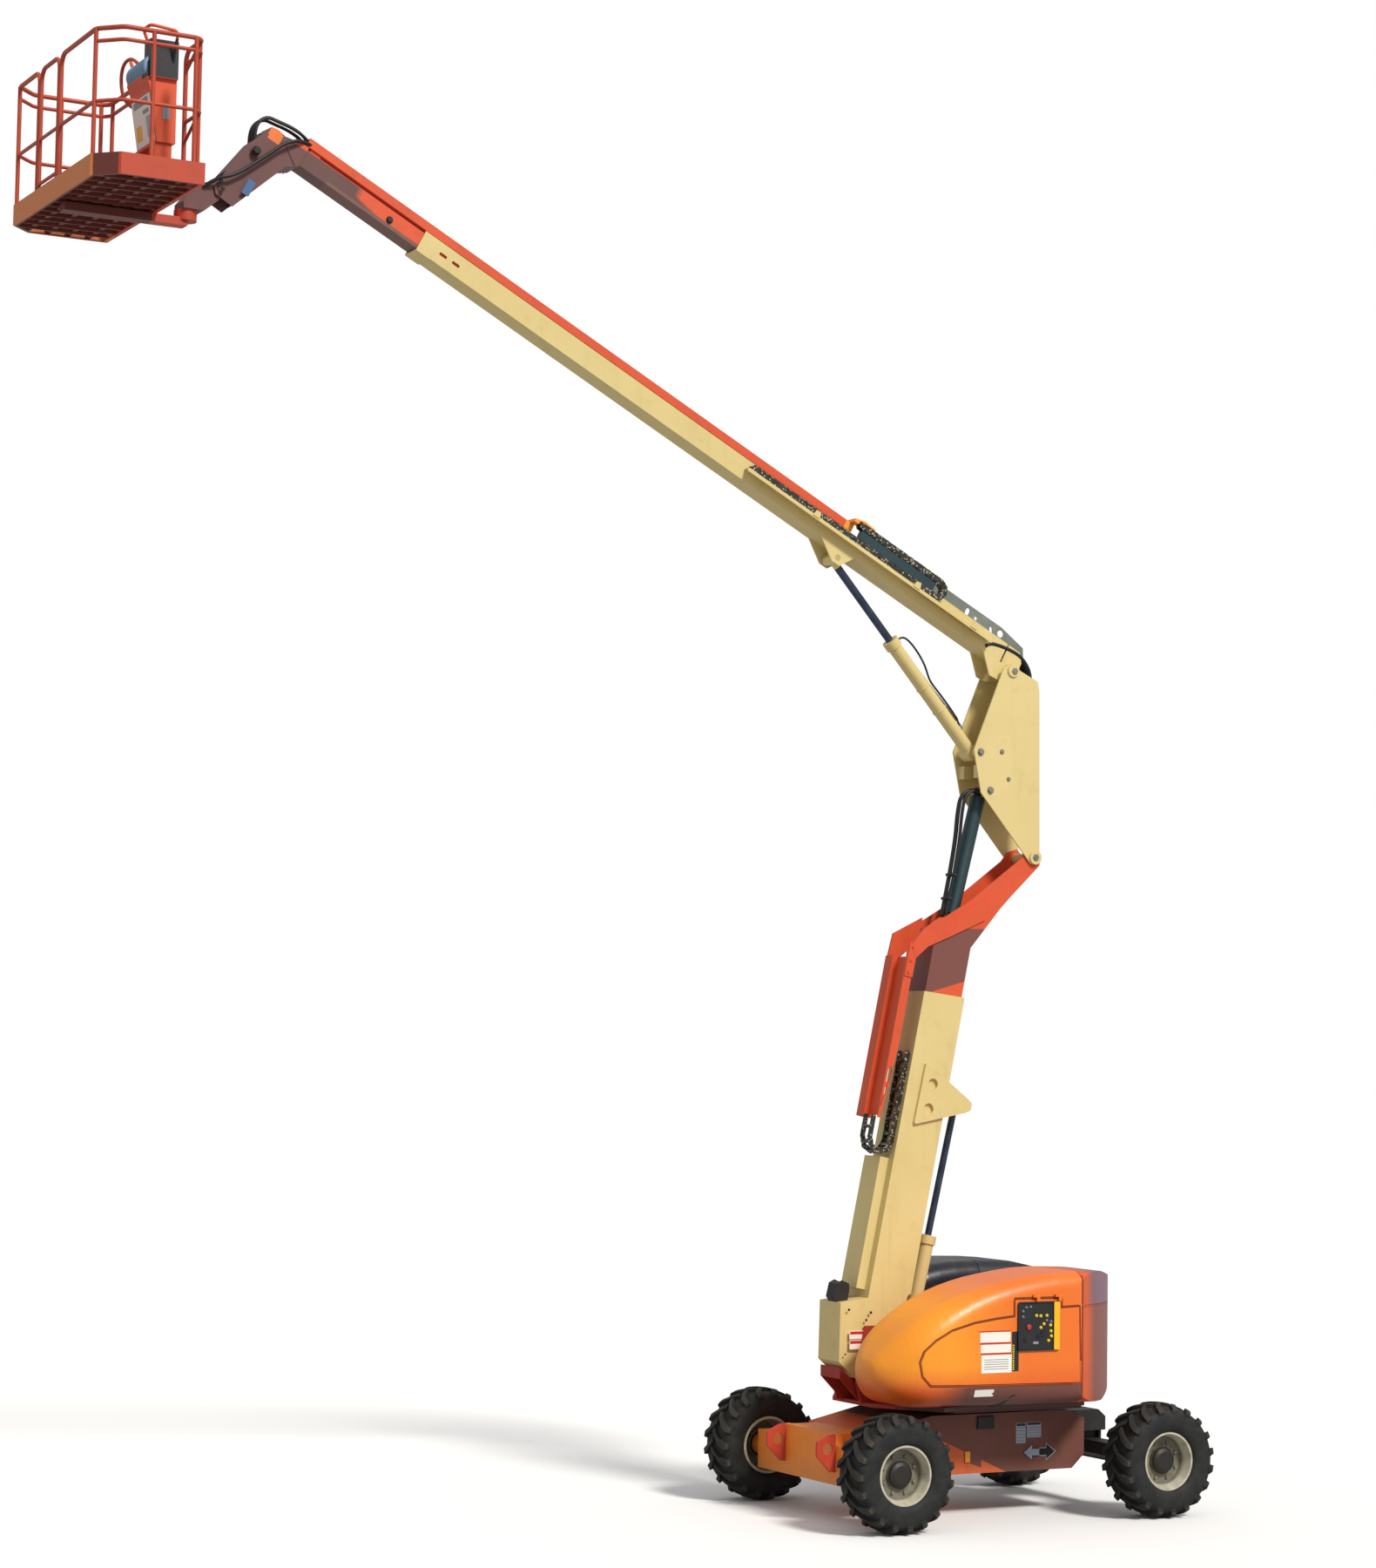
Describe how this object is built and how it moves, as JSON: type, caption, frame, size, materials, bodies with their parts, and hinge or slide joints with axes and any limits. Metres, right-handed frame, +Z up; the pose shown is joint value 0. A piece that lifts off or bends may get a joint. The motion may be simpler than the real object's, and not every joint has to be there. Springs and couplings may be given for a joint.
{
  "type": "articulating boom lift",
  "caption": "Self-propelled articulating boom lift with a raised tower boom, telescopic main boom, levelled work platform and steered wheeled chassis.",
  "frame": {"origin": "on the ground under the slewing axis, midway between the axles and between the wheels", "axes": "+X towards the steer axle, +Y to the machine's left, +Z up; the main boom reaches over -X"},
  "size_m": [9.6001, 2.48, 11.0053],
  "materials": {
    "black_plastic": "black moulded plastic",
    "chassis_paint": "dark grey paint",
    "chrome": "polished chrome",
    "cream_paint": "cream paint",
    "iron": "cast iron, dark paint",
    "orange_cowl": "glossy moulded orange",
    "orange_paint": "orange paint",
    "red_paint": "deep red paint",
    "rim": "dusty cream-grey paint",
    "steel": "bare steel",
    "tyre": "matte black rubber"
  },
  "bodies": {
    "chassis": {"chassis_frame": "red_paint", "rear_axle": "orange_paint", "axle_cradle": "chassis_paint", "steer_axle": "chassis_paint", "slew_ring": "chassis_paint"},
    "steering_rod": {"tie_rod": "chassis_paint"},
    "left_knuckle": {"knuckle_left": "chassis_paint"},
    "right_knuckle": {"knuckle_right": "chassis_paint"},
    "rear_left_wheel": {"tyre_rear_left": "tyre", "wheel_rear_left": "rim"},
    "rear_right_wheel": {"tyre_rear_right": "tyre", "wheel_rear_right": "rim"},
    "front_left_wheel": {"tyre_front_left": "tyre", "wheel_front_left": "rim"},
    "front_right_wheel": {"tyre_front_right": "tyre", "wheel_front_right": "rim"},
    "turntable": {"turntable_frame": "red_paint", "counterweight_left": "iron", "counterweight_right": "iron", "cowl_left": "orange_cowl", "cowl_right": "orange_cowl", "engine": "iron", "tank": "black_plastic", "tower_foot_pin": "steel"},
    "left_hood": {"hood_left": "orange_cowl"},
    "right_hood": {"hood_right": "orange_cowl", "control_panel": "black_plastic"},
    "tower": {"tower_base": "cream_paint", "track_cover": "cream_paint", "tower_track": "black_plastic", "hose_guide": "black_plastic"},
    "tower_lift_tube": {"tower_lift_barrel": "cream_paint"},
    "tower_lift_piston": {"tower_lift_rod": "chrome"},
    "tower_slider": {"tower_fly": "orange_paint", "hose_carrier": "orange_paint", "level_barrel": "cream_paint", "upright_pin": "steel"},
    "level_piston": {"level_rod": "chrome"},
    "upright_frame": {"upright": "cream_paint", "main_boom_pin": "steel"},
    "boom_base": {"main_base": "cream_paint", "track_shelf": "cream_paint", "hose_plate": "cream_paint", "main_track": "black_plastic"},
    "boom_lift_piston": {"main_lift_rod": "chrome"},
    "boom_lift_tube": {"main_lift_barrel": "cream_paint"},
    "boom_slider": {"main_fly": "orange_paint", "boom_nose": "orange_paint", "hose_rail": "orange_paint"},
    "platform_bracket": {"platform_support": "cream_paint"},
    "platform": {"platform_floor": "cream_paint", "platform_rails": "cream_paint", "console": "black_plastic"},
    "platform_gate": {"gate": "cream_paint"}
  },
  "joints": [
    {"name": "slew", "type": "hinge", "parent": "chassis", "child": "turntable", "pos_m": [0, 0, 0.9], "axis": [0, 0, 1], "range_deg": [-180, 180]},
    {"name": "tower_lift", "type": "hinge", "parent": "turntable", "child": "tower", "pos_m": [-0.92, 0, 1.4], "axis": [0, -1, 0], "range_deg": [-78, 0]},
    {"name": "tower_lift_swing", "type": "hinge", "parent": "turntable", "child": "tower_lift_tube", "pos_m": [-0.552, 0, 1.1], "axis": [0, -1, 0], "range_deg": [-82, 1]},
    {"name": "tower_lift_stroke", "type": "slide", "parent": "tower_lift_tube", "child": "tower_lift_piston", "axis": [0.2265, 0, 0.974], "range_m": [-0.63, 0.005]},
    {"name": "tower_extend", "type": "slide", "parent": "tower", "child": "tower_slider", "axis": [0.1994, 0, 0.9799], "range_m": [0, 1.2]},
    {"name": "upright_level", "type": "hinge", "parent": "tower_slider", "child": "upright_frame", "pos_m": [0.61051, 0, 5.30628], "axis": [0, -1, 0], "range_deg": [-1, 79]},
    {"name": "level_stroke", "type": "slide", "parent": "tower_slider", "child": "level_piston", "axis": [0.2509, 0, 0.968], "range_m": [-0.91, 0.005]},
    {"name": "main_lift", "type": "hinge", "parent": "upright_frame", "child": "boom_base", "pos_m": [0.37651, 0, 6.84929], "axis": [0, -1, 0], "range_deg": [-47.3, 40.7]},
    {"name": "main_lift_swing", "type": "hinge", "parent": "boom_base", "child": "boom_lift_piston", "pos_m": [-1.29006, 0, 7.66553], "axis": [0, -1, 0], "range_deg": [-7, 8]},
    {"name": "main_lift_stroke", "type": "slide", "parent": "boom_lift_piston", "child": "boom_lift_tube", "axis": [0.6688, 0, -0.7435], "range_m": [-0.46, 0.535]},
    {"name": "main_extend", "type": "slide", "parent": "boom_base", "child": "boom_slider", "axis": [-0.8854, 0, 0.4648], "range_m": [0, 3.55]},
    {"name": "platform_level", "type": "hinge", "parent": "boom_slider", "child": "platform_bracket", "pos_m": [-6.64019, 0, 9.99326], "axis": [0, -1, 0], "range_deg": [-41, 48]},
    {"name": "platform_rotate", "type": "hinge", "parent": "platform_bracket", "child": "platform", "pos_m": [-6.87519, 0, 9.79326], "axis": [0, 0, 1], "range_deg": [-90, 90]},
    {"name": "gate_swing", "type": "hinge", "parent": "platform", "child": "platform_gate", "pos_m": [-7.88419, -0.07, 9.99326], "axis": [0, 0, 1], "range_deg": [-90, 0]},
    {"name": "left_hood_swing", "type": "hinge", "parent": "turntable", "child": "left_hood", "pos_m": [0, 1.166, 1.792], "axis": [1, 0, 0], "range_deg": [0, 60]},
    {"name": "right_hood_swing", "type": "hinge", "parent": "turntable", "child": "right_hood", "pos_m": [0, -1.166, 1.792], "axis": [-1, 0, 0], "range_deg": [0, 60]},
    {"name": "steer_left", "type": "hinge", "parent": "chassis", "child": "left_knuckle", "pos_m": [1.24, 0.729, 0.455], "axis": [0, 0, 1], "range_deg": [-35, 35]},
    {"name": "steer_right", "type": "hinge", "parent": "chassis", "child": "right_knuckle", "pos_m": [1.24, -0.729, 0.455], "axis": [0, 0, 1], "range_deg": [-36, 36]},
    {"name": "tie_rod_slide", "type": "slide", "parent": "chassis", "child": "steering_rod", "axis": [0, 1, 0], "range_m": [-0.1, 0.1]},
    {"name": "rear_left_roll", "type": "hinge", "parent": "chassis", "child": "rear_left_wheel", "pos_m": [-1.24, 1.059, 0.455], "axis": [0, 1, 0], "continuous": true},
    {"name": "rear_right_roll", "type": "hinge", "parent": "chassis", "child": "rear_right_wheel", "pos_m": [-1.24, -1.059, 0.455], "axis": [0, 1, 0], "continuous": true},
    {"name": "front_left_roll", "type": "hinge", "parent": "left_knuckle", "child": "front_left_wheel", "pos_m": [1.24, 1.059, 0.455], "axis": [0, 1, 0], "continuous": true},
    {"name": "front_right_roll", "type": "hinge", "parent": "right_knuckle", "child": "front_right_wheel", "pos_m": [1.24, -1.059, 0.455], "axis": [0, 1, 0], "continuous": true}
  ],
  "couplings": [
    {"joint": "tower_lift_swing", "follows": "tower_lift", "ratio": 1.04},
    {"joint": "tower_lift_stroke", "follows": "tower_lift", "m_per_rad": 0.46},
    {"joint": "upright_level", "follows": "tower_lift", "ratio": -1},
    {"joint": "level_stroke", "follows": "tower_lift", "m_per_rad": 0.66},
    {"joint": "main_lift_swing", "follows": "main_lift", "ratio": -0.16},
    {"joint": "main_lift_stroke", "follows": "main_lift", "m_per_rad": -0.64},
    {"joint": "platform_level", "follows": "main_lift", "ratio": -1},
    {"joint": "steer_right", "follows": "steer_left", "ratio": 1},
    {"joint": "tie_rod_slide", "follows": "steer_left", "m_per_rad": -0.16}
  ]
}
